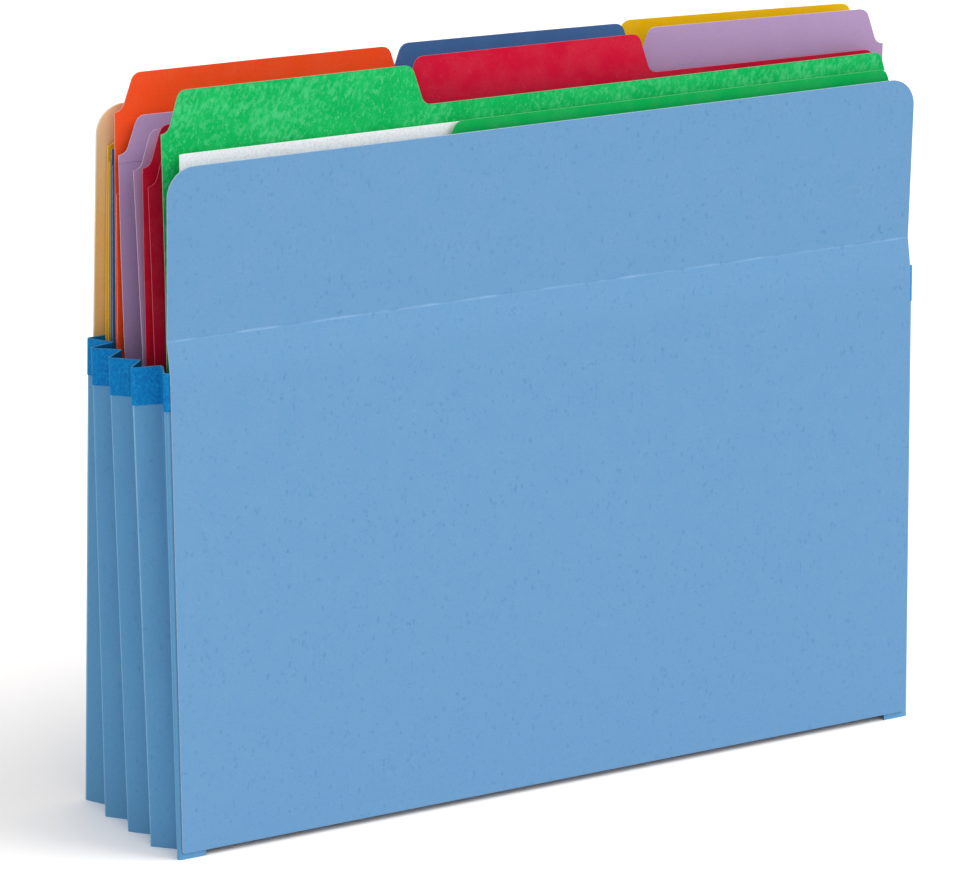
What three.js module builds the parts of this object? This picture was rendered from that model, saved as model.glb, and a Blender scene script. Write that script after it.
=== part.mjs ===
// Expanding file pocket, letter size, standing open with six tabbed folders and three sheets of paper in it.
// Millimetres, +Z up. The pocket faces -Y, stands on Z = 0 and is centred on the origin.
import * as THREE from 'three';

// Pocket: two panels joined by a pleated gusset at each side and a W-folded one below
const PANEL_WIDTH = 298.5;
const FRONT_PANEL_HEIGHT = 235;
const BACK_PANEL_HEIGHT = 246.5;
const PANEL_THICKNESS = 0.5;
const LINING_THICKNESS = 0.25;
const PANEL_CORNER_RADIUS = 10;
const PANEL_CORNER_STEPS = 6;
const PANEL_FOOT_RADIUS = 2;
const PANEL_FOOT_HEIGHT = 2.3;
const SCORE_HEIGHT = 179;
const SCORE_RELIEF = 1.7;
const TOP_FLARE = 1.2;

// Depth of the pocket over its panels at the foot, and how far each panel leans in at the gussets' top
const DEPTH_AT_FOOT = 72;
const FRONT_LEAN = 6;
const BACK_LEAN = 9.5;

// Side gussets: eight faces each, with a glue flange behind either panel
const GUSSET_HEIGHT = 168.3;
const GUSSET_THICKNESS = 0.3;
const PLEAT_FACE = 11.1;
const PLEATS = 4;
const GLUE_FLANGE = 11.1;
const FOLD_OVERHANG = 1.9;
const BACK_FOLD_OVERHANG_TOP = 3.4;
const RIDGE_OVERHANG_FOOT = 3.2;
const RIDGE_OVERHANG_TOP = 8.2;
const RIDGE_SHARES_FOOT = [0, 0.275, 0.52, 0.76, 1];
const RIDGE_SHARES_TOP = [0, 0.228, 0.49, 0.775, 1];
const FOLD_RADIUS = 0.9;
const FOLD_STEPS = 3;

// Tape wrapped over the top edge of each side gusset
const TAPE_WIDTH = 12.7;
const TAPE_THICKNESS = 0.12;
const GLUE_GAP = 0.1;

// Bottom gusset: four faces in a W
const BOTTOM_FACE = 24.4;
const BOTTOM_FLANGE = 22;
const BOTTOM_FOLD_HEIGHT = 1.1;
const BOTTOM_LAP = 1;

// Folders: one sheet each, folded once at the foot, with a tab a third of the width
const FOLDER_WIDTH = 291.7;
const FOLDER_HEIGHT = 241.3;
const FOLDER_THICKNESS = 0.3;
const FOLDER_FOOT_GAP = 1.4;
const FOLDER_FOOT_STEPS = 4;
const TAB_RISE = 14;
const SHOULDER_DROP = 14;
const FRONT_CUT = 5.5;
const UNDERCUT = 8;
const CURVE_RADIUS = 3.5;
const CURVE_ANGLE = THREE.MathUtils.degToRad(72);
const CURVE_STEPS = 3;
const WIDEST_COLUMN = 50;
const SECOND_PLY_DEPTH = 29.5;
const SECOND_PLY_THICKNESS = 0.15;
const PLY_EDGE = 0.2;

// Letter sheets inside the first folder
const SHEET_WIDTH = 279.4;
const SHEET_HEIGHT = 215.9;
const SHEET_THICKNESS = 0.2;
const SHEET_LEFT_MARGIN = 4.6;
const SHEET_RISE = 4.3;
const SHEET_FAN = 0.9;
const SHEET_COUNT = 3;
const SHEET_ROWS = 3;

// Room kept between things that rest on each other, and the distance below which two columns are one
const CLEARANCE = 0.3;
const SAME_COLUMN = 0.001;

const panelHalf = PANEL_WIDTH / 2;
const folderHalf = FOLDER_WIDTH / 2;
const tapeBuild = GLUE_GAP + TAPE_THICKNESS + GLUE_GAP;
const gussetHalf = GUSSET_THICKNESS / 2;
const frontFlangeInset = PANEL_THICKNESS + tapeBuild + gussetHalf;
const backFlangeInset = PANEL_THICKNESS + GLUE_GAP + LINING_THICKNESS + tapeBuild + gussetHalf;

const BLUE_STOCK = 0x71a2d0;
const GUSSET_BLUE = 0x5c9ac4;
const TAPE_BLUE = 0x0a7cc0;
const MANILA = 0xe6c79c;
const YELLOW = 0xeeb90e;
const FOLDER_BLUE = 0x46709f;
const ORANGE = 0xe94620;
const LAVENDER = 0xab87ba;
const RED = 0xc82444;
const GREEN = 0x14b45e;
const PAPER_WHITE = 0xf2f4f6;
const STOCK_ROUGHNESS = 0.85;
const TAPE_ROUGHNESS = 0.6;
const PAPER_ROUGHNESS = 0.9;

// Outer face of the front panel: it leans in with the gussets, bends in between their top and the score,
// and flares out again above the score
function frontFace(z) {
  const top = PANEL_FOOT_HEIGHT + FRONT_PANEL_HEIGHT;
  const relief = THREE.MathUtils.clamp((z - GUSSET_HEIGHT) / (SCORE_HEIGHT - GUSSET_HEIGHT), 0, 1);
  const flare = Math.max(0, (z - SCORE_HEIGHT) / (top - SCORE_HEIGHT));
  const straight = (FRONT_LEAN * Math.min(z, SCORE_HEIGHT)) / GUSSET_HEIGHT - DEPTH_AT_FOOT / 2;
  return straight + SCORE_RELIEF * relief - TOP_FLARE * flare;
}

// Outer face of the back panel, flat and leaning in
function backFace(z) {
  return DEPTH_AT_FOOT / 2 - (BACK_LEAN * z) / GUSSET_HEIGHT;
}

// Offsets a line to both sides, mitred at its corners, and returns the closed outline
function thicken(path, left, right) {
  const side = (amounts, sign) => path.map((point, i) => {
    const miter = miterAt(path, i);
    return point.clone().addScaledVector(miter, sign * (Array.isArray(amounts) ? amounts[i] : amounts));
  });
  return [...side(left, 1), ...side(right, -1).reverse()];
}

// Vector from a point of a line to its left-hand offset at distance one
function miterAt(path, i) {
  const before = path[Math.max(i, 1)].clone().sub(path[Math.max(i, 1) - 1]).normalize();
  const last = path.length - 1;
  const after = path[Math.min(i, last - 1) + 1].clone().sub(path[Math.min(i, last - 1)]).normalize();
  const normal = new THREE.Vector2(-before.y - after.y, before.x + after.x).normalize();
  return normal.divideScalar(normal.dot(new THREE.Vector2(-before.y, before.x)));
}

// Rounds the corners of a line with short arcs
function roundCorners(corners, radius, steps) {
  const path = [corners[0].clone()];
  for (let i = 1; i < corners.length - 1; i += 1) {
    const toBefore = corners[i - 1].clone().sub(corners[i]).normalize();
    const toAfter = corners[i + 1].clone().sub(corners[i]).normalize();
    const half = toBefore.angleTo(toAfter) / 2;
    const middle = toBefore.clone().add(toAfter).normalize();
    const centre = middle.multiplyScalar(radius / Math.sin(half)).add(corners[i]);
    const start = toBefore.multiplyScalar(radius / Math.tan(half)).add(corners[i]).sub(centre);
    const end = toAfter.multiplyScalar(radius / Math.tan(half)).add(corners[i]).sub(centre);
    const sweep = Math.atan2(start.cross(end), start.dot(end));
    for (let k = 0; k <= steps; k += 1) {
      path.push(start.clone().rotateAround(new THREE.Vector2(), (sweep * k) / steps).add(centre));
    }
  }
  path.push(corners.at(-1).clone());
  return path;
}

// Closed solid through a row of rings with equally many points; its two ends are filled flat. The two halves
// of a ring are the two faces of a sheet, so their quads are cut along the same diagonals.
function skin(rings, firstPlan, lastPlan, rising = (i, count) => i < count / 2) {
  const count = rings[0].length;
  const points = rings.flat();
  const faces = [];
  for (let r = 0; r < rings.length - 1; r += 1) {
    for (let i = 0; i < count; i += 1) {
      const next = (i + 1) % count;
      const [a, b, c, d] = [r * count + i, r * count + next, (r + 1) * count + next, (r + 1) * count + i];
      if (rising(i, count)) faces.push([a, b, c], [a, c, d]);
      else faces.push([a, b, d], [b, c, d]);
    }
  }
  faces.push(...fillPlan(firstPlan).map((face) => face.toReversed()));
  faces.push(...fillPlan(lastPlan).map((face) => face.map((i) => i + points.length - count)));
  const volume = faces.reduce((sum, [a, b, c]) => sum + points[a].dot(points[b].clone().cross(points[c])), 0);
  const geometry = new THREE.BufferGeometry().setFromPoints(points);
  geometry.setIndex((volume < 0 ? faces.map((face) => face.toReversed()) : faces).flat());
  geometry.computeVertexNormals();
  return geometry;
}

// Triangles that fill an outline, turned the way the outline runs
function fillPlan(plan) {
  const turn = Math.sign(THREE.ShapeUtils.area(plan));
  return THREE.ShapeUtils.triangulateShape([...plan], []).map((face) => {
    const same = Math.sign(THREE.ShapeUtils.area(face.map((i) => plan[i]))) === turn;
    return same ? face : face.toReversed();
  });
}

// Solid from upright sections that follow each other along X
function alongWidth(stations) {
  const rings = stations.map(({ x, plan }) => plan.map((point) => new THREE.Vector3(x, point.x, point.y)));
  return skin(rings, stations[0].plan, stations.at(-1).plan);
}

function part(name, geometry, color, roughness = STOCK_ROUGHNESS) {
  const mesh = new THREE.Mesh(geometry, new THREE.MeshStandardMaterial({ color, roughness, metalness: 0 }));
  mesh.name = name;
  return mesh;
}

// Panels: upright sheets with two large corner radii at the top and two small ones at the foot
function panelColumns() {
  const insets = [];
  for (let k = 0; k <= PANEL_CORNER_STEPS; k += 1) {
    insets.push(PANEL_CORNER_RADIUS * (1 - Math.cos((k / PANEL_CORNER_STEPS) * (Math.PI / 2))));
  }
  const right = insets.toReversed().map((inset) => panelHalf - inset);
  return [...insets.map((inset) => inset - panelHalf), ...right];
}

// How far a corner radius cuts into an edge, at a distance from the side
function cornerCut(x, radius) {
  const inset = Math.min(radius, panelHalf - Math.abs(x));
  return radius - Math.sqrt(radius ** 2 - (radius - inset) ** 2);
}

function panel(height, thickness, faceAt, heights) {
  const stations = panelColumns().map((x) => {
    const top = PANEL_FOOT_HEIGHT + height - cornerCut(x, PANEL_CORNER_RADIUS);
    const foot = PANEL_FOOT_HEIGHT + cornerCut(x, PANEL_FOOT_RADIUS);
    const path = [foot, ...heights, top].map((z) => new THREE.Vector2(faceAt(z), z));
    return { x, plan: thicken(path, thickness / 2, thickness / 2) };
  });
  return alongWidth(stations);
}

function frontPanel() {
  const bends = [GUSSET_HEIGHT, SCORE_HEIGHT];
  return panel(FRONT_PANEL_HEIGHT, PANEL_THICKNESS, (z) => frontFace(z) + PANEL_THICKNESS / 2, bends);
}

function backPanel() {
  return panel(BACK_PANEL_HEIGHT, PANEL_THICKNESS, (z) => backFace(z) - PANEL_THICKNESS / 2, []);
}

function backLining() {
  const inset = PANEL_THICKNESS + GLUE_GAP + LINING_THICKNESS / 2;
  return panel(BACK_PANEL_HEIGHT, LINING_THICKNESS, (z) => backFace(z) - inset, []);
}

// Folds of one pleated side seen from above at a height, from the back panel to the front panel. Ridges
// stand out from the panels' edges, and each valley lies one pleat face from the ridges beside it.
function pleatFolds(z, overhangs, shares) {
  const back = backFace(z) - backFlangeInset;
  const front = frontFace(z) + frontFlangeInset;
  const ridges = shares.map((share, i) => (
    new THREE.Vector2(-panelHalf - overhangs[i], THREE.MathUtils.lerp(back, front, share))
  ));
  const folds = [new THREE.Vector2(ridges[0].x + GLUE_FLANGE, back)];
  for (let i = 0; i < PLEATS; i += 1) {
    const across = ridges[i + 1].clone().sub(ridges[i]);
    const depth = Math.sqrt(PLEAT_FACE ** 2 - across.lengthSq() / 4);
    const inward = new THREE.Vector2(-across.y, across.x).normalize();
    folds.push(ridges[i], ridges[i].clone().addScaledVector(across, 0.5).addScaledVector(inward, depth));
  }
  folds.push(ridges[PLEATS], new THREE.Vector2(ridges[PLEATS].x + GLUE_FLANGE, front));
  return roundCorners(folds, FOLD_RADIUS, FOLD_STEPS);
}

// Overhangs of the ridges from back to front: one value for the inner ones and one for each outer one
function overhangs(backOuter, inner, frontOuter) {
  return [backOuter, ...Array(PLEATS - 1).fill(inner), frontOuter];
}

const footOverhangs = overhangs(FOLD_OVERHANG, RIDGE_OVERHANG_FOOT, FOLD_OVERHANG);
const topOverhangs = overhangs(BACK_FOLD_OVERHANG_TOP, RIDGE_OVERHANG_TOP, FOLD_OVERHANG);
const pleatFoot = pleatFolds(0, footOverhangs, RIDGE_SHARES_FOOT);
const pleatTop = pleatFolds(GUSSET_HEIGHT, topOverhangs, RIDGE_SHARES_TOP);

function pleatLine(z) {
  return pleatFoot.map((point, i) => point.clone().lerp(pleatTop[i], z / GUSSET_HEIGHT));
}

// A side piece is drawn for the left and mirrored for the right
function sideSolid(rings, firstPlan, lastPlan, side, rising) {
  const mirror = new THREE.Vector3(-side, 1, 1);
  const mirrored = rings.map((ring) => ring.map((point) => point.clone().multiply(mirror)));
  return skin(mirrored, firstPlan, lastPlan, rising);
}

function sideGusset(side) {
  const levels = [0, GUSSET_HEIGHT / 3, (GUSSET_HEIGHT * 2) / 3, GUSSET_HEIGHT - TAPE_WIDTH, GUSSET_HEIGHT];
  const sections = levels.map((z) => ({ z, plan: thicken(pleatLine(z), gussetHalf, gussetHalf) }));
  const rings = sections.map(({ z, plan }) => plan.map((point) => new THREE.Vector3(point.x, point.y, z)));
  return sideSolid(rings, sections[0].plan, sections.at(-1).plan, side);
}

// Tape folded over the gusset's top edge, as a channel that follows every pleat
function sideTape(side) {
  const inner = gussetHalf + GLUE_GAP;
  const outer = inner + TAPE_THICKNESS;
  const lower = GUSSET_HEIGHT - TAPE_WIDTH;
  const under = GUSSET_HEIGHT + GLUE_GAP;
  const upper = under + TAPE_THICKNESS;
  const profile = [
    [outer, lower], [outer, upper], [-outer, upper], [-outer, lower],
    [-inner, lower], [-inner, under], [inner, under], [inner, lower],
  ].map(([offset, z]) => new THREE.Vector2(offset, z));
  const rings = pleatTop.map((_, i) => profile.map((corner) => {
    const line = pleatLine(corner.y);
    const point = line[i].clone().addScaledVector(miterAt(line, i), corner.x);
    return new THREE.Vector3(point.x, point.y, corner.y);
  }));
  const fallingSides = (i) => i % 4 !== 2;
  return sideSolid(rings, profile, profile, side, fallingSides);
}

// Bottom gusset: a flange behind each panel and a W between them, whose two inner ridges carry the folders
const bottomLayer = gussetHalf + GLUE_GAP + gussetHalf;
const bottomFront = (z) => frontFace(z) + frontFlangeInset + bottomLayer;
const bottomBack = (z) => backFace(z) - backFlangeInset - bottomLayer;
const bottomRoom = bottomBack(BOTTOM_FOLD_HEIGHT) - bottomFront(BOTTOM_FOLD_HEIGHT);
const bottomRidgeHeight = BOTTOM_FOLD_HEIGHT + Math.sqrt(BOTTOM_FACE ** 2 - (bottomRoom / 4) ** 2);
const bottomRidges = [0.25, 0.75].map((share) => bottomFront(BOTTOM_FOLD_HEIGHT) + share * bottomRoom);

function bottomGusset() {
  const flangeTop = BOTTOM_FOLD_HEIGHT + BOTTOM_FLANGE;
  const middle = (bottomRidges[0] + bottomRidges[1]) / 2;
  const corners = [
    [bottomFront(flangeTop), flangeTop],
    [bottomFront(BOTTOM_FOLD_HEIGHT), BOTTOM_FOLD_HEIGHT],
    [bottomRidges[0], bottomRidgeHeight],
    [middle, BOTTOM_FOLD_HEIGHT],
    [bottomRidges[1], bottomRidgeHeight],
    [bottomBack(BOTTOM_FOLD_HEIGHT), BOTTOM_FOLD_HEIGHT],
    [bottomBack(flangeTop), flangeTop],
  ].map(([y, z]) => new THREE.Vector2(y, z));
  const plan = thicken(roundCorners(corners, FOLD_RADIUS, FOLD_STEPS), gussetHalf, gussetHalf);
  const half = panelHalf + FOLD_OVERHANG - GLUE_FLANGE + BOTTOM_LAP;
  return alongWidth([-half, half].map((x) => ({ x, plan })));
}

// Place inside the pocket at a height: share 0 lies against the front layers, share 1 against the back ones
const sideLayers = 2 * (tapeBuild + gussetHalf) + CLEARANCE;
function inPocket(share, z) {
  const front = frontFace(z) + PANEL_THICKNESS + sideLayers;
  const back = backFace(z) - PANEL_THICKNESS - GLUE_GAP - LINING_THICKNESS - sideLayers;
  return THREE.MathUtils.lerp(front, back, share);
}

// Edge of a tab or shoulder, as run and fall from its top: an arc, a straight slant and an arc back
const arcRun = CURVE_RADIUS * Math.sin(CURVE_ANGLE);
const arcFall = CURVE_RADIUS * (1 - Math.cos(CURVE_ANGLE));
const curveRun = 2 * arcRun + (TAB_RISE - 2 * arcFall) / Math.tan(CURVE_ANGLE);

function curvePoints() {
  const upper = [];
  for (let k = 0; k <= CURVE_STEPS; k += 1) {
    const angle = (CURVE_ANGLE * k) / CURVE_STEPS;
    upper.push([CURVE_RADIUS * Math.sin(angle), CURVE_RADIUS * (1 - Math.cos(angle))]);
  }
  const lower = upper.toReversed().map(([run, fall]) => [curveRun - run, TAB_RISE - fall]);
  return [...upper, ...lower].map(([run, fall]) => ({ run, share: fall / TAB_RISE }));
}

const curve = curvePoints();

// Share of a step that has been made at a distance into it
function curveShare(run) {
  if (run <= 0) return 0;
  if (run >= curveRun) return 1;
  const i = curve.findIndex((point) => point.run >= run);
  const [before, after] = [curve[i - 1], curve[i]];
  return THREE.MathUtils.mapLinear(run, before.run, after.run, before.share, after.share);
}

// Skyline of a folder's flap: a start height at the left edge and steps along the width
function skyline(start, steps) {
  const heightAt = (x) => steps.reduce((z, step) => z + step.rise * curveShare(x - step.x), start);
  const columns = steps.flatMap((step) => curve.map((point) => step.x + point.run));
  return { heightAt, columns };
}

const folderFoot = bottomRidgeHeight + gussetHalf + CLEARANCE + FOLDER_THICKNESS / 2;
const folderTop = folderFoot + FOLDER_HEIGHT;
const folderBody = folderTop - TAB_RISE;

// A tab stands at the left end, in the middle or at the right end of the back flap, and the front flap is
// cut lower in front of it
function folderSkylines({ side, length, offset = 0, shoulder = SHOULDER_DROP, frontCut = FRONT_CUT }) {
  const tabMiddle = side * (folderHalf - curveRun - length / 2) + offset;
  const tabStart = tabMiddle - length / 2;
  const tabEnd = tabMiddle + length / 2;
  const shoulders = [
    { x: -folderHalf, rise: shoulder },
    { x: folderHalf - curveRun, rise: -shoulder },
  ];
  const backSteps = [...shoulders];
  const frontSteps = [...shoulders];
  if (side >= 0) {
    backSteps.push({ x: tabStart - curveRun, rise: TAB_RISE });
    frontSteps.push({ x: tabStart - 2 * curveRun, rise: -UNDERCUT });
  }
  if (side <= 0) {
    backSteps.push({ x: tabEnd, rise: -TAB_RISE });
    frontSteps.push({ x: tabEnd + curveRun, rise: UNDERCUT });
  }
  const backStart = folderBody - shoulder + (side < 0 ? TAB_RISE : 0);
  const frontStart = folderBody - frontCut - shoulder - (side < 0 ? UNDERCUT : 0);
  return { back: skyline(backStart, backSteps), front: skyline(frontStart, frontSteps) };
}

// Share of the room at a place across the width, from its values at the left edge, middle and right edge
function acrossWidth([left, middle, right], x) {
  const t = x / folderHalf;
  return middle + ((right - left) / 2) * t + ((left + right) / 2 - middle) * t * t;
}

// Place of a flap's middle plane: from the fold at the foot through the gusset's top to the flap's top
function flapPlace(foot, flap, x, z) {
  const rise = (z - folderFoot) / (GUSSET_HEIGHT - folderFoot);
  const top = (folderTop - folderFoot) / (GUSSET_HEIGHT - folderFoot);
  const waistY = inPocket(acrossWidth(flap.waist, x), GUSSET_HEIGHT);
  const topY = inPocket(acrossWidth(flap.top, x), folderTop);
  const slope = waistY - foot;
  const bend = (topY - foot - slope * top) / (top * (top - 1));
  return foot + slope * rise + bend * rise * (rise - 1);
}

// Columns in order, without doubles, and with more between those that lie far apart
function closeColumns(columns) {
  const isNew = (x, i, all) => i === 0 || x - all[i - 1] > SAME_COLUMN;
  const sorted = columns.toSorted((a, b) => a - b).filter(isNew);
  return sorted.flatMap((x, i) => {
    const width = i === 0 ? 0 : x - sorted[i - 1];
    const count = Math.max(1, Math.ceil(width / WIDEST_COLUMN));
    return Array.from({ length: count }, (_, k) => x - (width * (count - 1 - k)) / count);
  });
}

function folder({ tab, foot, front, back }) {
  const lines = folderSkylines(tab);
  const plyHeight = folderTop - SECOND_PLY_DEPTH;
  const half = FOLDER_THICKNESS / 2;
  const footRadius = FOLDER_FOOT_GAP / 2;
  const footLevel = folderFoot + footRadius;
  const lowerRows = [footLevel, THREE.MathUtils.lerp(footLevel, GUSSET_HEIGHT, 0.5), GUSSET_HEIGHT];
  const middleRow = THREE.MathUtils.lerp(GUSSET_HEIGHT, plyHeight, 0.5);
  const columns = closeColumns([...lines.back.columns, ...lines.front.columns]);
  const footY = inPocket(foot, folderFoot);
  const stations = columns.map((x) => {
    const frontRows = [...lowerRows, middleRow, lines.front.heightAt(x)];
    const backRows = [...lowerRows, middleRow, plyHeight - PLY_EDGE, plyHeight, lines.back.heightAt(x)];
    const frontLine = frontRows.map((z) => new THREE.Vector2(flapPlace(footY - footRadius, front, x, z), z));
    const backLine = backRows.map((z) => new THREE.Vector2(flapPlace(footY + footRadius, back, x, z), z));
    const fold = [];
    for (let k = 1; k < FOLDER_FOOT_STEPS; k += 1) {
      const angle = Math.PI * (1 + k / FOLDER_FOOT_STEPS);
      fold.push(new THREE.Vector2(Math.cos(angle), Math.sin(angle)).multiplyScalar(footRadius));
    }
    const foldCentre = new THREE.Vector2(footY, footLevel);
    const path = [...frontLine.toReversed(), ...fold.map((point) => point.add(foldCentre)), ...backLine];
    const inner = path.map((_, i) => (i >= path.length - 2 ? half + SECOND_PLY_THICKNESS : half));
    return { x, plan: thicken(path, inner, half) };
  });
  return alongWidth(stations);
}

// Letter sheets are held between a folder's flaps, a little above its fold, each further right than the last
function letterSheet(spec, index) {
  const footY = inPocket(spec.foot, folderFoot);
  const foot = folderFoot + FOLDER_FOOT_GAP / 2 + SHEET_RISE;
  const left = -folderHalf + SHEET_LEFT_MARGIN + index * SHEET_FAN;
  const shift = (index - (SHEET_COUNT - 1) / 2) * (SHEET_THICKNESS + GLUE_GAP);
  const stations = closeColumns([left, left + SHEET_WIDTH]).map((x) => {
    const path = [];
    for (let row = 0; row <= SHEET_ROWS; row += 1) {
      const z = foot + (row / SHEET_ROWS) * SHEET_HEIGHT;
      const middle = (flapPlace(footY, spec.front, x, z) + flapPlace(footY, spec.back, x, z)) / 2;
      path.push(new THREE.Vector2(middle + shift, z));
    }
    return { x, plan: thicken(path, SHEET_THICKNESS / 2, SHEET_THICKNESS / 2) };
  });
  return alongWidth(stations);
}

// Folders from front to back. A flap's shares of the pocket's room are given at its left edge, middle and
// right edge, where it leaves the gussets and at the height of the tabs.
const FOLDERS = [
  {
    name: 'green_folder', color: GREEN, foot: 0.26,
    tab: { side: -1, length: 82 },
    front: { waist: [0.064, 0.064, 0.059], top: [0.056, 0.05, 0.05] },
    back: { waist: [0.139, 0.128, 0.112], top: [0.222, 0.167, 0.139] },
  },
  {
    name: 'red_folder', color: RED, foot: 0.29,
    tab: { side: 0, length: 82 },
    front: { waist: [0.305, 0.245, 0.181], top: [0.46, 0.334, 0.211] },
    back: { waist: [0.42, 0.309, 0.213], top: [0.49, 0.384, 0.245] },
  },
  {
    name: 'lavender_folder', color: LAVENDER, foot: 0.33,
    tab: { side: 1, length: 81, shoulder: 13, frontCut: 3 },
    front: { waist: [0.468, 0.362, 0.245], top: [0.69, 0.467, 0.273] },
    back: { waist: [0.72, 0.56, 0.298], top: [0.855, 0.605, 0.306] },
  },
  {
    name: 'orange_folder', color: ORANGE, foot: 0.73,
    tab: { side: -1, length: 91, shoulder: 13 },
    front: { waist: [0.815, 0.704, 0.416], top: [0.885, 0.757, 0.378] },
    back: { waist: [0.836, 0.724, 0.437], top: [0.905, 0.778, 0.4] },
  },
  {
    name: 'blue_folder', color: FOLDER_BLUE, foot: 0.77,
    tab: { side: 0, length: 80, offset: 6, shoulder: 12 },
    front: { waist: [0.89, 0.788, 0.48], top: [0.92, 0.81, 0.445] },
    back: { waist: [0.91, 0.808, 0.501], top: [0.94, 0.832, 0.467] },
  },
  {
    name: 'yellow_folder', color: YELLOW, foot: 0.81,
    tab: { side: 1, length: 82, shoulder: 11.2 },
    front: { waist: [0.95, 0.872, 0.554], top: [0.96, 0.89, 0.5] },
    back: { waist: [0.985, 0.912, 0.597], top: [0.985, 0.925, 0.545] },
  },
];

const object = new THREE.Group();
object.add(part('front_panel', frontPanel(), BLUE_STOCK));
object.add(part('back_panel', backPanel(), BLUE_STOCK));
object.add(part('back_panel_lining', backLining(), MANILA));
object.add(part('left_gusset', sideGusset(-1), GUSSET_BLUE));
object.add(part('right_gusset', sideGusset(1), GUSSET_BLUE));
object.add(part('left_gusset_tape', sideTape(-1), TAPE_BLUE, TAPE_ROUGHNESS));
object.add(part('right_gusset_tape', sideTape(1), TAPE_BLUE, TAPE_ROUGHNESS));
object.add(part('bottom_gusset', bottomGusset(), GUSSET_BLUE));
for (const spec of FOLDERS) object.add(part(spec.name, folder(spec), spec.color));
for (let i = 0; i < SHEET_COUNT; i += 1) {
  object.add(part(`letter_sheet_${i + 1}`, letterSheet(FOLDERS[0], i), PAPER_WHITE, PAPER_ROUGHNESS));
}

export default object;
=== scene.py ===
"""Expanding file pocket with tabbed folders: paper finishes, sheet detail, light and camera, in metres."""

import math

import bmesh
import bpy
from mathutils import Matrix, Vector, noise
from mathutils.bvhtree import BVHTree

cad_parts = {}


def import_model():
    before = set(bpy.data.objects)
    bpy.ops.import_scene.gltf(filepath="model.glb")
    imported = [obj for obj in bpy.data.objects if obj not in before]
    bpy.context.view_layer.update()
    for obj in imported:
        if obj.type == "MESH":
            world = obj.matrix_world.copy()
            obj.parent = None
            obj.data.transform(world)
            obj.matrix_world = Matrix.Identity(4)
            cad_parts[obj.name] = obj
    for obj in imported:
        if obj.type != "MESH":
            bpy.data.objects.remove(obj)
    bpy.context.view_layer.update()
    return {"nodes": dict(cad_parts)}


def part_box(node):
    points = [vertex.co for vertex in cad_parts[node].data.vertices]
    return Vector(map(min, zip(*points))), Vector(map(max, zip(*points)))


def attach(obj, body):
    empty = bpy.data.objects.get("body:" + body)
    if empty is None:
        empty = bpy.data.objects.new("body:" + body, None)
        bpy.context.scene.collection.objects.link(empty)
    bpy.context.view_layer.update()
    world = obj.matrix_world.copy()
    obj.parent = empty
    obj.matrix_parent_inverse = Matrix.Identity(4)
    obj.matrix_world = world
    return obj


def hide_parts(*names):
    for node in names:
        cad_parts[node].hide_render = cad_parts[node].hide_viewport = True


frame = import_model()
MM = 0.001

# Camera at the photograph's viewing angle, with its angles in degrees and its lens on a 36 mm sensor
CAMERA_PLACE = (-0.8901, -1.4553, 0.6067)
CAMERA_YAW = 31.162
CAMERA_PITCH = 15.999
CAMERA_ROLL = 0.481
LENS_MM = 187.65
SENSOR_MM = 36.0

# Studio: the floor's colour for the light that it returns and as the camera sees it, and two wide suns
FLOOR_SIZE = 40.0
FLOOR_COLOUR = (0.8, 0.8, 0.8, 1.0)
FLOOR_SEEN = (1.2, 1.155, 1.12, 1.0)
WORLD_STRENGTH = 0.7
KEY_DIRECTION = (0.6, -0.42, 0.68)
KEY_STRENGTH = 1.6
KEY_ANGLE = 40.0
FILL_DIRECTION = (-0.05, -0.9, 0.43)
FILL_STRENGTH = 0.5
FILL_ANGLE = 60.0

# Sheets
WELD = 1e-6
CREASE_ANGLE = math.radians(35)
PANEL_CORNER = 10 * MM
PANEL_FOOT_CORNER = 1.2 * MM
EDGE_SOFTNESS = 0.1 * MM
SCORE_HEIGHT = 179 * MM
SCORE_DEPTH = 0.08 * MM
SCORE_WIDTH = 0.3 * MM
PANEL_WAVE = 0.22 * MM
PANEL_WAVE_LENGTH = 90 * MM
GLUED_BORDER = 16 * MM
PLEAT_FOLD_WIDTH = 1.1 * MM
PLEAT_CRESTS = 149 * MM
GREEN_FLAPS_SPLIT = -22.6 * MM

# Fineness of the sheets' meshes
GRID_STEP = 5 * MM
CORNER_STEPS = 12
CORNER_ROWS = 4
SCORE_ROWS = 5
SCORE_CLEAR = 6 * SCORE_WIDTH
ROW_MARGIN = MM / 2
GUSSET_GRID = 12 * MM
FOLDER_GRID = 20 * MM

# Rays that measure where a panel's faces lie: how far off the middle, from how far away, how near its ends
PROBE_X = 1 * MM
PROBE_REACH = 1.0
PROBE_MARGIN = MM / 4

# Shares of a face's normal along an axis: above these it faces out of its sheet, up or down, or sideways
SHEET_FACING = 0.6
EDGE_FACING = 0.7
CREST_FACING = 0.9

# A panel's layers of corners from front to back. Each lies on the front face (0) or the back one (1), and is
# either drawn in from the rim or sunk below its face, so that the cut edge is soft.
PANEL_LAYERS = ((0, 1, 0), (0, 0, 1), (1, 0, 1), (1, 1, 0))

# Sockets of Blender's Mix node for colours
MIX_FIRST = 6
MIX_SECOND = 7
MIX_RESULT = 2

# Card textures: noise frequencies per metre, the bands of noise that show, and how strongly
SPECULAR = 0.12
CLOUDS = 120
CLOUD_BAND = (0.38, 0.66)
GRAIN = 1500
GRAIN_BAND = (0.46, 0.72)
GRAIN_SHARE = 0.55
GRAIN_DARKENING = 0.1
FLECKS = (700, 700, 430)
FLECK_BAND = (0.58, 0.78)
FIBRES = (260, 900, 1500)
FIBRE_TURNS = (4, 58, -52)
FIBRE_BAND = (0.64, 0.8)
FIBRE_RELIEF = 0.6
CARD_ROUGHNESS = 0.86
CARD_ROUGHNESS_SPREAD = 0.06
CARD_BUMP = 0.22
CARD_RELIEF = 0.05 * MM

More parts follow.
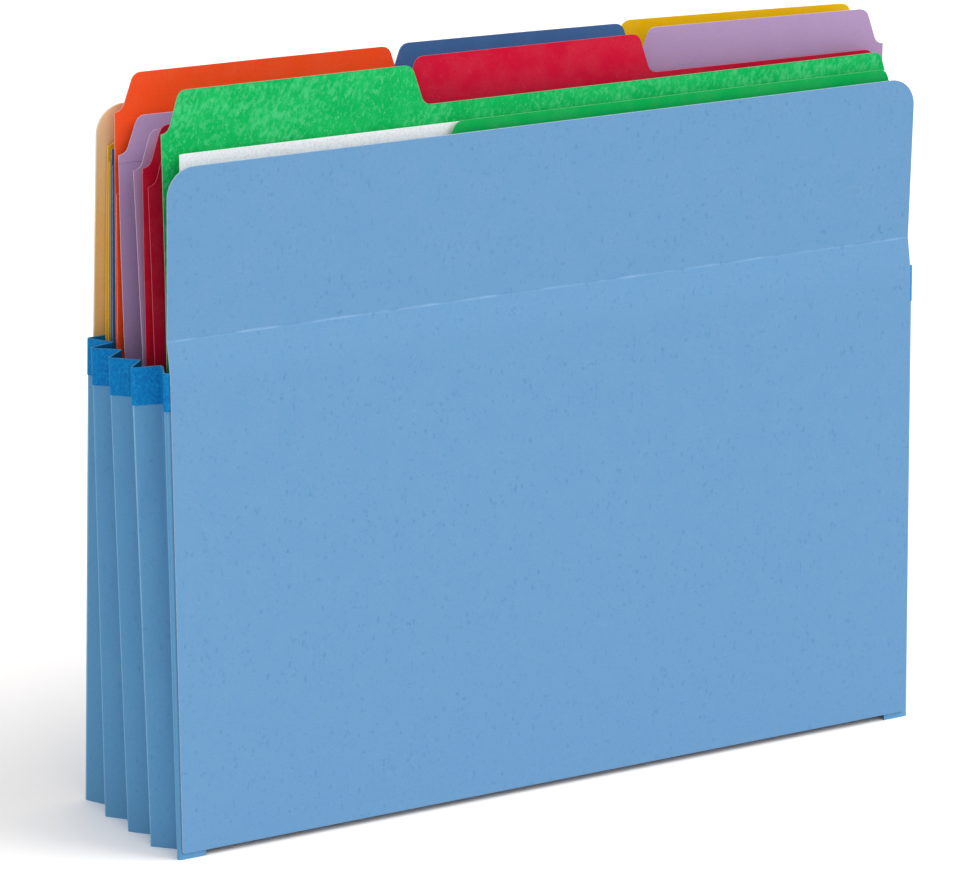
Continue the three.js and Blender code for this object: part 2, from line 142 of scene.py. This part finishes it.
# Cut edges and white paper
FINE_ROUGHNESS = 0.9
FINE_RELIEF = 0.03 * MM
EDGE_MOTTLE = 900
EDGE_MOTTLE_BAND = (0.35, 0.7)
EDGE_MOTTLE_SHARE = 0.4
EDGE_GRAIN = 2500
EDGE_BUMP = 0.2
PAPER_GRAIN = 1200
PAPER_GRAIN_BAND = (0.4, 0.7)
PAPER_BUMP = 0.15

# The score's pale line: how it drifts up and down, how wide it is, and where it is broken
SCORE_DRIFT = 40
SCORE_DRIFT_HEIGHT = 0.5 * MM
SCORE_LINE_BAND = (0.1 * MM, 0.6 * MM)
SCORE_BREAKS = (70, 70, 70)
SCORE_BREAK_BAND = (0.4, 0.7)
SCORE_SHARE = 0.5

# Tape
TAPE_WEAVE = (420, 1300, 1300)
TAPE_TURNS = (40, -40)
TAPE_SPECKLE = 1500
TAPE_SPECKLE_RELIEF = 0.5
TAPE_LIGHT_BAND = (0.8, 1.02)
TAPE_LIGHT_SHARE = 0.55
TAPE_DARK_BAND = (0.62, 0.82)
TAPE_DARK_SHARE = 0.6
TAPE_ROUGHNESS = 0.62
TAPE_ROUGHNESS_SPREAD = 0.08
TAPE_BUMP = 0.4
TAPE_RELIEF = 0.06 * MM

# Mottling of the green folder
TUFTS = (760, 760, 430)
TUFT_TURN = 25
TUFT_PATCHES = 60
TUFT_PATCH_SHARE = 0.5
TUFT_BAND = (0.66, 1.0)
TUFT_SHARE = 0.6
THREADS = (1500, 1500, 700)
THREAD_TURN = -18
THREAD_BAND = (0.6, 0.74)
THREAD_SHARE = 0.35

# Plain folder stock: how far its clouds, flecks and fibres depart from its base, and the heights over which
# painted light makes the lining paler towards its top
PLAIN_CLOUD = 0.03
PLAIN_FLECK = 0.14
PLAIN_FIBRE = 0.16
MANILA_CLOUD = 0.07
MANILA_LIGHT_BAND = (205 * MM, 250 * MM)


def srgb(red, green, blue):
    """A colour written as 0 to 255 in sRGB, as the linear RGBA that a shader socket takes."""
    def linear(value):
        share = value / 255
        return share / 12.92 if share <= 0.04045 else ((share + 0.055) / 1.055) ** 2.4
    return (linear(red), linear(green), linear(blue), 1.0)


def blend(first, second, share):
    return tuple(a + (b - a) * share for a, b in zip(first, second))


# Colours
WHITE = srgb(250, 250, 250)
BLACK = (0.0, 0.0, 0.0, 1.0)
BLUE = srgb(108, 154, 195)
SCORE_PALE = srgb(150, 190, 228)
GUSSET_BLUE = srgb(98, 156, 198)
TAPE_BLUE = srgb(0, 126, 194)
TAPE_LIGHT = srgb(24, 160, 218)
TAPE_DARK = srgb(0, 98, 168)
TAPE_EDGE = srgb(30, 150, 206)
MANILA = srgb(246, 198, 122)
# Painted light: the lining's paler top, which is also the base colour of its cut edge
MANILA_LIT_TOP = srgb(246, 214, 168)
YELLOW = srgb(255, 204, 4)
FOLDER_BLUE = srgb(68, 112, 168)
ORANGE = srgb(255, 82, 30)
LAVENDER = srgb(180, 150, 192)
RED = srgb(204, 12, 52)
GREEN = srgb(2, 174, 86)
GREEN_OUTSIDE = srgb(0, 168, 80)
GREEN_TUFT = srgb(86, 204, 136)
GREEN_THREAD = srgb(128, 214, 150)
PAPER = srgb(250, 251, 253)
PAPER_SHADE = srgb(234, 236, 240)

# Shades of a stock: its base, clouds, flecks and fibres
BLUE_SHADES = (BLUE, srgb(104, 153, 197), srgb(82, 130, 176), srgb(132, 174, 212))
GUSSET_SHADES = (GUSSET_BLUE, srgb(100, 154, 200), srgb(78, 136, 184), srgb(128, 180, 218))
FOLD_SHADES = (srgb(138, 188, 224), srgb(126, 180, 218), srgb(104, 162, 206), srgb(172, 206, 232))
MANILA_SHADES = (MANILA, blend(MANILA, WHITE, MANILA_CLOUD), srgb(212, 166, 100), srgb(250, 224, 180))
GREEN_SHADES = (GREEN, srgb(30, 190, 100), srgb(0, 165, 80), srgb(100, 206, 135))

# How strongly a stock's clouds, flecks and fibres show
BLUE_SHARES = (0.5, 0.55, 0.14)
GUSSET_SHARES = (0.5, 0.45, 0.12)
FOLD_SHARES = (0.8, 0.6, 0.3)
GREEN_SHARES = (0.5, 0.4, 0.2)
PLAIN_SHARES = (0.4, 0.25, 0.1)

# How much paler than its sheet a cut edge is
BLUE_EDGE_SHARE = 0.3
TAPE_EDGE_SHARE = 0.08
MANILA_EDGE_SHARE = 0.45
GREEN_EDGE_SHARE = 0.3
PAPER_EDGE_SHARE = 0.5


class Graph:
    """Short-hand for a material's node tree."""

    def __init__(self, name, roughness):
        self.material = bpy.data.materials.new(name)
        self.material.use_nodes = True
        self.tree = self.material.node_tree
        self.shader = self.tree.nodes["Principled BSDF"]
        self.shader.inputs["Roughness"].default_value = roughness
        self.shader.inputs["Specular IOR Level"].default_value = SPECULAR
        self.place = self.node("ShaderNodeTexCoord").outputs["Object"]

    def node(self, kind, settings=None, **inputs):
        made = self.tree.nodes.new(kind)
        for key, value in (settings or {}).items():
            setattr(made, key, value)
        for key, value in inputs.items():
            self.put(made.inputs[key], value)
        return made

    def put(self, socket, value):
        if isinstance(value, bpy.types.NodeSocket):
            self.tree.links.new(value, socket)
        else:
            socket.default_value = value

    def math(self, operation, first, second=0.0):
        made = self.node("ShaderNodeMath", {"operation": operation})
        self.put(made.inputs[0], first)
        self.put(made.inputs[1], second)
        return made.outputs[0]

    def height(self):
        return self.node("ShaderNodeSeparateXYZ", Vector=self.place).outputs["Z"]

    def stretched(self, scale, turn=0.0):
        """The place on the object, turned about Y and stretched, so that noise on it makes streaks."""
        made = self.node("ShaderNodeMapping", {"vector_type": "TEXTURE"}, Vector=self.place)
        made.inputs["Rotation"].default_value = (0.0, math.radians(turn), 0.0)
        made.inputs["Scale"].default_value = [1 / s for s in scale]
        return made.outputs[0]

    def noise(self, scale, detail=2.0, place=None):
        made = self.node("ShaderNodeTexNoise", Vector=place or self.place, Scale=scale, Detail=detail)
        return made.outputs["Fac"]

    def above(self, value, low, high):
        """0 below the low value, 1 above the high one and smooth between them."""
        made = self.node("ShaderNodeMapRange", {"interpolation_type": "SMOOTHSTEP"}, Value=value)
        made.inputs["From Min"].default_value = low
        made.inputs["From Max"].default_value = high
        return made.outputs[0]

    def mix(self, share, first, second):
        made = self.node("ShaderNodeMix", {"data_type": "RGBA"})
        self.put(made.inputs[0], share)
        self.put(made.inputs[MIX_FIRST], first)
        self.put(made.inputs[MIX_SECOND], second)
        return made.outputs[MIX_RESULT]

    def scaled(self, value, amount):
        return self.math("MULTIPLY", value, amount)

    def colour(self, value):
        self.put(self.shader.inputs["Base Color"], value)

    def bump(self, height, strength, distance):
        made = self.node("ShaderNodeBump", Height=height, Strength=strength, Distance=distance)
        self.put(self.shader.inputs["Normal"], made.outputs[0])

    def uneven_roughness(self, middle, spread, value):
        made = self.node("ShaderNodeMapRange", Value=value)
        made.inputs["To Min"].default_value = middle - spread
        made.inputs["To Max"].default_value = middle + spread
        self.put(self.shader.inputs["Roughness"], made.outputs[0])


def card(name, shades, shares, extra=None):
    """Card or paper stock: broad clouds, fine grain, small flecks and short fibres on a base colour."""
    base, cloud, fleck, fibre = shades
    cloud_share, fleck_share, fibre_share = shares
    graph = Graph(name, CARD_ROUGHNESS)
    broad = graph.above(graph.noise(CLOUDS, 4.0), *CLOUD_BAND)
    grain = graph.noise(GRAIN, 3.0)
    colour = graph.mix(graph.scaled(broad, cloud_share), base, cloud)
    darker = blend(base, BLACK, GRAIN_DARKENING)
    colour = graph.mix(graph.scaled(graph.above(grain, *GRAIN_BAND), GRAIN_SHARE), colour, darker)
    flecks = graph.above(graph.noise(1.0, 2.5, graph.stretched(FLECKS)), *FLECK_BAND)
    colour = graph.mix(graph.scaled(flecks, fleck_share), colour, fleck)
    streaks = None
    for turn in FIBRE_TURNS:
        streak = graph.above(graph.noise(1.0, 1.5, graph.stretched(FIBRES, turn)), *FIBRE_BAND)
        streaks = streak if streaks is None else graph.math("MAXIMUM", streaks, streak)
    colour = graph.mix(graph.scaled(streaks, fibre_share), colour, fibre)
    if extra:
        colour = extra(graph, colour)
    graph.colour(colour)
    relief = graph.math("ADD", grain, graph.scaled(streaks, FIBRE_RELIEF))
    graph.bump(relief, CARD_BUMP, CARD_RELIEF)
    graph.uneven_roughness(CARD_ROUGHNESS, CARD_ROUGHNESS_SPREAD, grain)
    return graph.material


def cut_edge(name, base, share):
    """The cut edge of a sheet, paler than its faces because the fibres show."""
    graph = Graph(name, FINE_ROUGHNESS)
    pale = blend(base, WHITE, share)
    mottle = graph.above(graph.noise(EDGE_MOTTLE, 2.0), *EDGE_MOTTLE_BAND)
    graph.colour(graph.mix(mottle, pale, blend(pale, base, EDGE_MOTTLE_SHARE)))
    graph.bump(graph.noise(EDGE_GRAIN, 2.0), EDGE_BUMP, FINE_RELIEF)
    return graph.material


def score_line(graph, colour):
    """Adds the panel's scored line: thin, pale and a little broken."""
    drift = graph.math("SUBTRACT", graph.noise(SCORE_DRIFT, 2.0), 0.5)
    centred = graph.math("SUBTRACT", graph.height(), SCORE_HEIGHT)
    off = graph.math("ABSOLUTE", graph.math("ADD", centred, graph.scaled(drift, SCORE_DRIFT_HEIGHT)))
    line = graph.math("SUBTRACT", 1.0, graph.above(off, *SCORE_LINE_BAND))
    broken = graph.above(graph.noise(1.0, 2.0, graph.stretched(SCORE_BREAKS)), *SCORE_BREAK_BAND)
    return graph.mix(graph.scaled(graph.math("MULTIPLY", line, broken), SCORE_SHARE), colour, SCORE_PALE)


def tape_material():
    """Fibre tape: a fine crossed texture in a deep blue, with a slight shine."""
    graph = Graph("gusset_tape", TAPE_ROUGHNESS)
    crossed = [graph.noise(1.0, 2.0, graph.stretched(TAPE_WEAVE, turn)) for turn in TAPE_TURNS]
    speckle = graph.noise(TAPE_SPECKLE, 3.0)
    woven = graph.math("MAXIMUM", *crossed)
    relief = graph.math("ADD", woven, graph.scaled(speckle, TAPE_SPECKLE_RELIEF))
    light = graph.above(relief, *TAPE_LIGHT_BAND)
    dark = graph.math("SUBTRACT", 1.0, graph.above(relief, *TAPE_DARK_BAND))
    colour = graph.mix(graph.scaled(light, TAPE_LIGHT_SHARE), TAPE_BLUE, TAPE_LIGHT)
    colour = graph.mix(graph.scaled(dark, TAPE_DARK_SHARE), colour, TAPE_DARK)
    graph.colour(colour)
    graph.bump(relief, TAPE_BUMP, TAPE_RELIEF)
    graph.uneven_roughness(TAPE_ROUGHNESS, TAPE_ROUGHNESS_SPREAD, speckle)
    return graph.material


def green_mottling(graph, colour):
    """Adds pale tufts in loose patches, and threads across them."""
    tufts = graph.noise(1.0, 3.0, graph.stretched(TUFTS, TUFT_TURN))
    patches = graph.scaled(graph.noise(TUFT_PATCHES, 2.0), TUFT_PATCH_SHARE)
    shown = graph.above(graph.math("ADD", tufts, patches), *TUFT_BAND)
    colour = graph.mix(graph.scaled(shown, TUFT_SHARE), colour, GREEN_TUFT)
    threads = graph.noise(1.0, 2.0, graph.stretched(THREADS, THREAD_TURN))
    return graph.mix(graph.scaled(graph.above(threads, *THREAD_BAND), THREAD_SHARE), colour, GREEN_THREAD)


def plain_card(name, base):
    """Folder stock: its clouds, flecks and fibres are shades of its own colour."""
    fleck, fibre = blend(base, BLACK, PLAIN_FLECK), blend(base, WHITE, PLAIN_FIBRE)
    return card(name, (base, blend(base, WHITE, PLAIN_CLOUD), fleck, fibre), PLAIN_SHARES)


def manila_painted_light(graph, colour):
    """Paints light on the lining: paler towards its top edge, where more light falls, and yellower below it,
    as a painted reflection of the yellow folder.
    """
    return graph.mix(graph.above(graph.height(), *MANILA_LIGHT_BAND), colour, MANILA_LIT_TOP)


def paper_material():
    graph = Graph("white_paper", FINE_ROUGHNESS)
    grain = graph.noise(PAPER_GRAIN, 3.0)
    graph.colour(graph.mix(graph.above(grain, *PAPER_GRAIN_BAND), PAPER, PAPER_SHADE))
    graph.bump(grain, PAPER_BUMP, FINE_RELIEF)
    return graph.material


def welded(node):
    """A node's mesh with its shared corners joined."""
    mesh = bmesh.new()
    mesh.from_mesh(node.data)
    bmesh.ops.remove_doubles(mesh, verts=mesh.verts, dist=WELD)
    mesh.normal_update()
    return mesh


def refine(mesh, longest):
    """Cuts edges in half until none is longer than the given length."""
    while True:
        edges = [edge for edge in mesh.edges if edge.calc_length() > longest]
        if not edges:
            return
        bmesh.ops.subdivide_edges(mesh, edges=edges, cuts=1)
        bmesh.ops.triangulate(mesh, faces=[face for face in mesh.faces if len(face.verts) > 4])


def soften(mesh):
    """Smooth shading, apart from real corners."""
    for face in mesh.faces:
        face.smooth = True
    for edge in mesh.edges:
        edge.smooth = len(edge.link_faces) == 2 and edge.calc_face_angle(0.0) < CREASE_ANGLE


def add_piece(name, mesh, materials, node):
    """Makes the object for a finished mesh, in place of its CAD node."""
    data = bpy.data.meshes.new(name)
    mesh.to_mesh(data)
    mesh.free()
    piece = bpy.data.objects.new(name, data)
    bpy.context.scene.collection.objects.link(piece)
    for material in materials:
        data.materials.append(material)
    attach(piece, "root")
    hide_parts(node)
    return piece


def dress(node, materials, choose, longest=None):
    """A CAD node's own shape with smooth faces, and a material chosen for each face."""
    mesh = welded(frame["nodes"][node])
    for face in mesh.faces:
        face.material_index = choose(face)
    if longest:
        refine(mesh, longest)
    mesh.normal_update()
    soften(mesh)
    return add_piece(node + "_sheet", mesh, materials, node)


def flat_rim(face):
    """Slot 1 for the cut edge of an upright sheet, else slot 0."""
    return 1 if abs(face.normal.y) < SHEET_FACING else 0


def green_faces(face):
    """Slot 1 for cut edges, 2 for faces in front of the split between the flaps and 0 for those behind it."""
    if flat_rim(face):
        return 1
    return 2 if face.calc_center_median().y < GREEN_FLAPS_SPLIT else 0


def narrow(face):
    """True for a triangle that is thinner across than a fold is wide."""
    longest = max(edge.calc_length() for edge in face.edges)
    return 2 * face.calc_area() / longest < PLEAT_FOLD_WIDTH


def tape_faces(face):
    """Slot 1 for faces that look up or down, else slot 0."""
    return 1 if abs(face.normal.z) > EDGE_FACING else 0


def pleat_faces(face):
    """Slot 2 for the narrow crests of the outer folds, which get a paler stock, 1 for cut edges and 0 for the
    pleats' faces.
    """
    if tape_faces(face):
        return 1
    outer = abs(face.calc_center_median().x) > PLEAT_CRESTS and abs(face.normal.x) > CREST_FACING
    return 2 if outer and narrow(face) else 0


def corner_cut(x, half, radius):
    inset = min(radius, half - abs(x))
    return radius - math.sqrt(max(radius ** 2 - (radius - inset) ** 2, 0.0))


def panel_columns(half):
    """Places across a panel: close together round its corners and a step apart between them."""
    turns = [math.radians(90 * k / CORNER_STEPS) for k in range(CORNER_STEPS + 1)]
    corner = [PANEL_CORNER * (1 - math.cos(turn)) for turn in turns]
    count = round((2 * half - 2 * PANEL_CORNER) / GRID_STEP)
    middle = [PANEL_CORNER + (2 * half - 2 * PANEL_CORNER) * k / count for k in range(1, count)]
    left, right = [inset - half for inset in corner], [half - inset for inset in reversed(corner)]
    return left + [x - half for x in middle] + right


def panel_rows(low, high):
    """Heights up a panel, with close ones at the score."""
    count = round((high - low) / GRID_STEP)
    rows = [low + (high - low) * k / count for k in range(count + 1)]
    rows = [z for z in rows if abs(z - SCORE_HEIGHT) > SCORE_CLEAR]
    rows += [SCORE_HEIGHT + SCORE_WIDTH * k / 2 for k in range(-SCORE_ROWS, SCORE_ROWS + 1)]
    return sorted(rows)


def panel_heights(x, low, high):
    """Heights up one column of a panel: its shared rows, and those that follow the corners at both ends."""
    inner_low, inner_high = low.z + PANEL_FOOT_CORNER + ROW_MARGIN, high.z - PANEL_CORNER - ROW_MARGIN
    top = high.z - corner_cut(x, high.x, PANEL_CORNER)
    foot = low.z + corner_cut(x, high.x, PANEL_FOOT_CORNER)
    ends = [inner_high + (top - inner_high) * k / CORNER_ROWS for k in range(1, CORNER_ROWS + 1)]
    return [foot, (foot + inner_low) / 2] + panel_rows(inner_low, inner_high) + ends


def sheet_faces(node):
    """Where a sheet's front and back faces lie at a height, measured on the CAD node's middle."""
    tree = BVHTree.FromBMesh(welded(frame["nodes"][node]))

    def at(z):
        front = tree.ray_cast(Vector((PROBE_X, -PROBE_REACH, z)), Vector((0, 1, 0)))[0].y
        back = tree.ray_cast(Vector((PROBE_X, PROBE_REACH, z)), Vector((0, -1, 0)))[0].y
        return front, back
    return at


def panel_wave(x, z, half):
    """A panel's slight unevenness, which fades out where it is glued down."""
    free = min(max((half - abs(x) - GLUED_BORDER) / GLUED_BORDER, 0.0), 1.0)
    free *= min(max((z - 2 * GLUED_BORDER) / GLUED_BORDER, 0.0), 1.0)
    place = Vector((x, z, 0.0)) / PANEL_WAVE_LENGTH
    return PANEL_WAVE * free * noise.noise(place)


def panel_layer(low, high, faces_at, layer, scored):
    """The places of one layer's corners, column by column."""
    side, drawn_in, sunk = layer
    half = high.x
    centre = (low + high) / 2
    soft = EDGE_SOFTNESS * drawn_in
    grid = []
    for x in panel_columns(half):
        line = []
        for z in panel_heights(x, low, high):
            front, back = faces_at(min(max(z, low.z + PROBE_MARGIN), high.z - PROBE_MARGIN))
            score = SCORE_DEPTH * math.exp(-((z - SCORE_HEIGHT) / SCORE_WIDTH) ** 2) if scored else 0.0
            y = (front + score, back)[side] + (EDGE_SOFTNESS, -EDGE_SOFTNESS)[side] * sunk
            y += panel_wave(x, z, half) if scored else 0.0
            place_z = centre.z + (z - centre.z) * (1 - 2 * soft / (high.z - low.z))
            line.append((x * (half - soft) / half, y, place_z))
        grid.append(line)
    return grid


def fill_grid(mesh, points, flip):
    """Quads between a grid's corners, turned over where flip is true."""
    for i in range(len(points) - 1):
        for j in range(len(points[0]) - 1):
            quad = [points[i][j], points[i + 1][j], points[i + 1][j + 1], points[i][j + 1]]
            mesh.faces.new(list(reversed(quad)) if flip else quad)


def rim_path(columns, rows):
    """Column and row of each place round a grid's rim, anticlockwise from its first corner."""
    right, top = columns - 1, rows - 1
    path = [(i, 0) for i in range(columns)] + [(right, j) for j in range(1, rows)]
    return path + [(i, top) for i in range(right - 1, -1, -1)] + [(0, j) for j in range(top - 1, 0, -1)]


def panel(node, face_material, edge_material, scored):
    """A panel as a fine sheet with round corners and soft edges. A scored one has a slight wave too."""
    low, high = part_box(node)
    faces_at = sheet_faces(node)
    layers = [panel_layer(low, high, faces_at, layer, scored) for layer in PANEL_LAYERS]
    mesh = bmesh.new()
    front_points = [[mesh.verts.new(place) for place in line] for line in layers[0]]
    back_points = [[mesh.verts.new(place) for place in line] for line in layers[-1]]
    fill_grid(mesh, front_points, flip=False)
    fill_grid(mesh, back_points, flip=True)
    path = rim_path(len(front_points), len(front_points[0]))
    rings = [[front_points[i][j] for i, j in path]]
    rings += [[mesh.verts.new(layer[i][j]) for i, j in path] for layer in layers[1:-1]]
    rings.append([back_points[i][j] for i, j in path])
    for outer, inner in zip(rings, rings[1:]):
        for k in range(len(path)):
            n = (k + 1) % len(path)
            face = mesh.faces.new([outer[n], outer[k], inner[k], inner[n]])
            face.material_index = 1
    mesh.normal_update()
    soften(mesh)
    return add_piece(node + "_sheet", mesh, [face_material, edge_material], node)


def pocket():
    """The two panels, the gussets, the tape and the lining."""
    blue_stock = card("blue_stock", BLUE_SHADES, BLUE_SHARES, score_line)
    back_stock = card("back_stock", BLUE_SHADES, BLUE_SHARES)
    blue_edge = cut_edge("blue_edge", BLUE, BLUE_EDGE_SHARE)
    gusset_stock = card("gusset_stock", GUSSET_SHADES, GUSSET_SHARES)
    gusset_fold = card("gusset_fold", FOLD_SHADES, FOLD_SHARES)
    tape, tape_edge = tape_material(), cut_edge("tape_edge", TAPE_EDGE, TAPE_EDGE_SHARE)
    # The lining's paler top is painted light.
    lining = card("manila_lining", MANILA_SHADES, PLAIN_SHARES, manila_painted_light)
    manila_edge = cut_edge("manila_edge", MANILA_LIT_TOP, MANILA_EDGE_SHARE)
    panel("front_panel", blue_stock, blue_edge, scored=True)
    panel("back_panel", back_stock, manila_edge, scored=False)
    panel("back_panel_lining", lining, manila_edge, scored=False)
    pleated = [gusset_stock, blue_edge, gusset_fold]
    for side in ("left", "right"):
        dress(side + "_gusset", pleated, pleat_faces, GUSSET_GRID)
        dress(side + "_gusset_tape", [tape, tape_edge], tape_faces)
    dress("bottom_gusset", pleated, pleat_faces)


def contents():
    """The folders and the loose sheets. Each plain folder has its colour and its cut edge's paleness."""
    plain = {
        "red": (RED, 0.16),
        "lavender": (LAVENDER, 0.5),
        "orange": (ORANGE, 0.4),
        "yellow": (YELLOW, 0.35),
        "blue": (FOLDER_BLUE, 0.3),
    }
    for colour, (base, paleness) in plain.items():
        sheet = [plain_card(colour + "_card", base), cut_edge(colour + "_edge", base, paleness)]
        dress(colour + "_folder", sheet, flat_rim, FOLDER_GRID)
    inside = card("green_inside", GREEN_SHADES, GREEN_SHARES, green_mottling)
    green_edge = cut_edge("green_edge", GREEN, GREEN_EDGE_SHARE)
    green = [inside, green_edge, plain_card("green_outside", GREEN_OUTSIDE)]
    dress("green_folder", green, green_faces, FOLDER_GRID)
    white, white_edge = paper_material(), cut_edge("paper_edge", PAPER, PAPER_EDGE_SHARE)
    for node in sorted(name for name in frame["nodes"] if name.startswith("letter_sheet")):
        dress(node, [white, white_edge], flat_rim)


def look_from(place, yaw, pitch, roll):
    """Camera matrix for a place and a viewing direction, with the roll about that direction."""
    yaw, pitch, roll = (math.radians(angle) for angle in (yaw, pitch, roll))
    ahead = Vector((math.sin(yaw) * math.cos(pitch), math.cos(yaw) * math.cos(pitch), -math.sin(pitch)))
    level = Vector((math.cos(yaw), -math.sin(yaw), 0.0))
    upward = level.cross(ahead)
    right = level * math.cos(roll) + upward * math.sin(roll)
    up = upward * math.cos(roll) - level * math.sin(roll)
    turned = Matrix((right, up, -ahead)).transposed().to_4x4()
    return Matrix.Translation(Vector(place)) @ turned


def camera():
    data = bpy.data.cameras.new("camera")
    data.lens = LENS_MM
    data.sensor_width = SENSOR_MM
    made = bpy.data.objects.new("camera", data)
    bpy.context.scene.collection.objects.link(made)
    made.matrix_world = look_from(CAMERA_PLACE, CAMERA_YAW, CAMERA_PITCH, CAMERA_ROLL)
    bpy.context.scene.camera = made


def sun(name, direction, strength, angle):
    """A sun as wide as the angle in degrees, which shines from the given direction."""
    data = bpy.data.lights.new(name, "SUN")
    data.energy = strength
    data.angle = math.radians(angle)
    lamp = bpy.data.objects.new(name, data)
    bpy.context.scene.collection.objects.link(lamp)
    lamp.rotation_mode = "QUATERNION"
    lamp.rotation_quaternion = Vector(direction).to_track_quat("Z", "Y")


def seen_directly(tree):
    """1 for camera, glossy and transmission rays, else 0."""
    path = tree.nodes.new("ShaderNodeLightPath")
    total = path.outputs["Is Camera Ray"]
    for name in ("Is Glossy Ray", "Is Transmission Ray"):
        largest = tree.nodes.new("ShaderNodeMath")
        largest.operation = "MAXIMUM"
        tree.links.new(total, largest.inputs[0])
        tree.links.new(path.outputs[name], largest.inputs[1])
        total = largest.outputs[0]
    return total


def world():
    """White where it is seen directly, and dimmer as a light."""
    made = bpy.data.worlds.new("studio")
    bpy.context.scene.world = made
    made.use_nodes = True
    tree = made.node_tree
    background = tree.nodes["Background"]
    background.inputs["Color"].default_value = (1.0, 1.0, 1.0, 1.0)
    strength = tree.nodes.new("ShaderNodeMapRange")
    strength.inputs["To Min"].default_value = WORLD_STRENGTH
    tree.links.new(seen_directly(tree), strength.inputs["Value"])
    tree.links.new(strength.outputs[0], background.inputs["Strength"])


def floor():
    """A plain pale floor that runs on as the backdrop. It is paler where the camera sees it than for the
    light that it returns to the object, so that it is white where it is lit and keeps its shadow."""
    mesh = bmesh.new()
    bmesh.ops.create_grid(mesh, x_segments=2, y_segments=2, size=FLOOR_SIZE / 2)
    data = bpy.data.meshes.new("floor")
    mesh.to_mesh(data)
    mesh.free()
    made = bpy.data.objects.new("floor", data)
    bpy.context.scene.collection.objects.link(made)
    material = bpy.data.materials.new("floor")
    material.use_nodes = True
    tree = material.node_tree
    tree.nodes.remove(tree.nodes["Principled BSDF"])
    shader = tree.nodes.new("ShaderNodeBsdfDiffuse")
    tree.links.new(shader.outputs["BSDF"], tree.nodes["Material Output"].inputs["Surface"])
    paleness = tree.nodes.new("ShaderNodeMix")
    paleness.data_type = "RGBA"
    paleness.inputs[MIX_FIRST].default_value = FLOOR_COLOUR
    paleness.inputs[MIX_SECOND].default_value = FLOOR_SEEN
    tree.links.new(seen_directly(tree), paleness.inputs[0])
    tree.links.new(paleness.outputs[MIX_RESULT], shader.inputs["Color"])
    data.materials.append(material)


pocket()
contents()
camera()
sun("key", KEY_DIRECTION, KEY_STRENGTH, KEY_ANGLE)
sun("fill", FILL_DIRECTION, FILL_STRENGTH, FILL_ANGLE)
world()
floor()
bpy.context.scene.view_settings.view_transform = "Standard"
